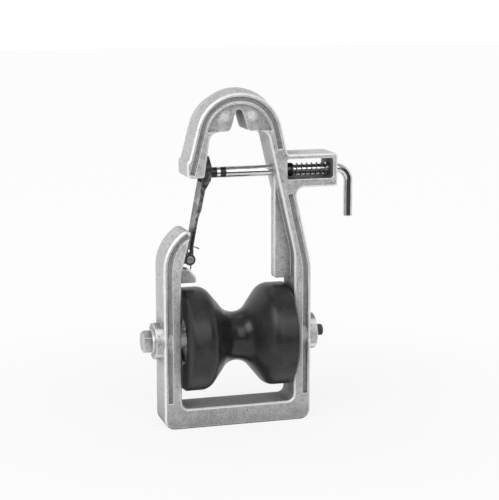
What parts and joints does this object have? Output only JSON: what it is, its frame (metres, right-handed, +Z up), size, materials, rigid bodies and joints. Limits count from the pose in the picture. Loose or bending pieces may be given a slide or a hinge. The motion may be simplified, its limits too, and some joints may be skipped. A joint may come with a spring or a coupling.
{
  "type": "stringing block",
  "caption": "Hook-type stringing block: cast frame hung on a strand by a notch, hourglass roller on ball bearings, sprung gate and sprung lock rod with a bent handle.",
  "frame": {"origin": "centre of the base's flat underside, below the middle of the roller", "axes": "+Z up to the hook's crown, +X along the axle towards the lock handle, -Y the front"},
  "size_m": [0.1883, 0.0888, 0.2889],
  "materials": {
    "frame": "as cast, tumbled",
    "roller_core": "turned",
    "roller_cover": "moulded neoprene",
    "bearing_outer_left": "ground bearing steel",
    "bearing_outer_right": "ground bearing steel",
    "bearing_inner_left": "ground bearing steel",
    "bearing_inner_right": "ground bearing steel",
    "bearing_shields_left": "zinc plated",
    "bearing_shields_right": "zinc plated",
    "bearing_balls_left": "polished",
    "bearing_balls_right": "polished",
    "bearing_cage_left": "pressed",
    "bearing_cage_right": "pressed",
    "spacer_middle": "zinc plated",
    "spacer_left": "zinc plated",
    "spacer_right": "zinc plated",
    "axle_bolt": "zinc plated",
    "axle_nut": "zinc plated",
    "axle_washer": "zinc plated",
    "gate": "dark plated sheet",
    "gate_pin": "zinc plated",
    "gate_spring": "black oxide",
    "lock_rod": "bright drawn bar",
    "lock_collar": "black oxide",
    "collar_pin": "bright drawn bar",
    "lock_washer": "black oxide",
    "lock_spring": "bright drawn bar"
  },
  "bodies": {
    "base": {"frame": "frame", "axle_bolt": "axle_bolt", "axle_washer": "axle_washer", "axle_nut": "axle_nut", "spacer_left": "spacer_left", "spacer_middle": "spacer_middle", "spacer_right": "spacer_right", "bearing_inner_left": "bearing_inner_left", "bearing_inner_right": "bearing_inner_right", "gate_pin": "gate_pin", "gate_spring": "gate_spring", "lock_spring": "lock_spring"},
    "roller": {"roller_cover": "roller_cover", "roller_core": "roller_core", "bearing_outer_left": "bearing_outer_left", "bearing_outer_right": "bearing_outer_right", "bearing_shields_left": "bearing_shields_left", "bearing_shields_right": "bearing_shields_right"},
    "balls_left": {"bearing_balls_left": "bearing_balls_left", "bearing_cage_left": "bearing_cage_left"},
    "balls_right": {"bearing_balls_right": "bearing_balls_right", "bearing_cage_right": "bearing_cage_right"},
    "gate": {"gate": "gate"},
    "lock_slider": {"lock_washer": "lock_washer"},
    "lock_rod": {"lock_rod": "lock_rod", "lock_collar": "lock_collar", "collar_pin": "collar_pin"}
  },
  "joints": [
    {"name": "roller_spin", "type": "hinge", "parent": "base", "child": "roller", "pos_m": [0, 0, 0.0752], "axis": [1, 0, 0], "continuous": true},
    {"name": "balls_left_spin", "type": "hinge", "parent": "base", "child": "balls_left", "pos_m": [-0.0365, 0, 0.0752], "axis": [1, 0, 0], "continuous": true},
    {"name": "balls_right_spin", "type": "hinge", "parent": "base", "child": "balls_right", "pos_m": [0.0365, 0, 0.0752], "axis": [1, 0, 0], "continuous": true},
    {"name": "gate_swing", "type": "hinge", "parent": "base", "child": "gate", "pos_m": [-0.0404, 0, 0.1454], "axis": [0, 1, 0], "range_deg": [0, 45], "stiffness_Nm_per_rad": 0.04, "springref_deg": -28.65, "deforming": ["gate_spring"]},
    {"name": "lock_slide", "type": "slide", "parent": "base", "child": "lock_slider", "axis": [1, 0, 0], "range_m": [0, 0.02], "stiffness_N_per_m": 1800, "springref_m": -0.008, "deforming": ["lock_spring"]},
    {"name": "lock_turn", "type": "hinge", "parent": "lock_slider", "child": "lock_rod", "pos_m": [0.09, 0, 0.2178], "axis": [1, 0, 0], "continuous": true}
  ],
  "couplings": [
    {"joint": "balls_left_spin", "follows": "roller_spin", "ratio": 0.6411},
    {"joint": "balls_right_spin", "follows": "roller_spin", "ratio": 0.6411}
  ]
}
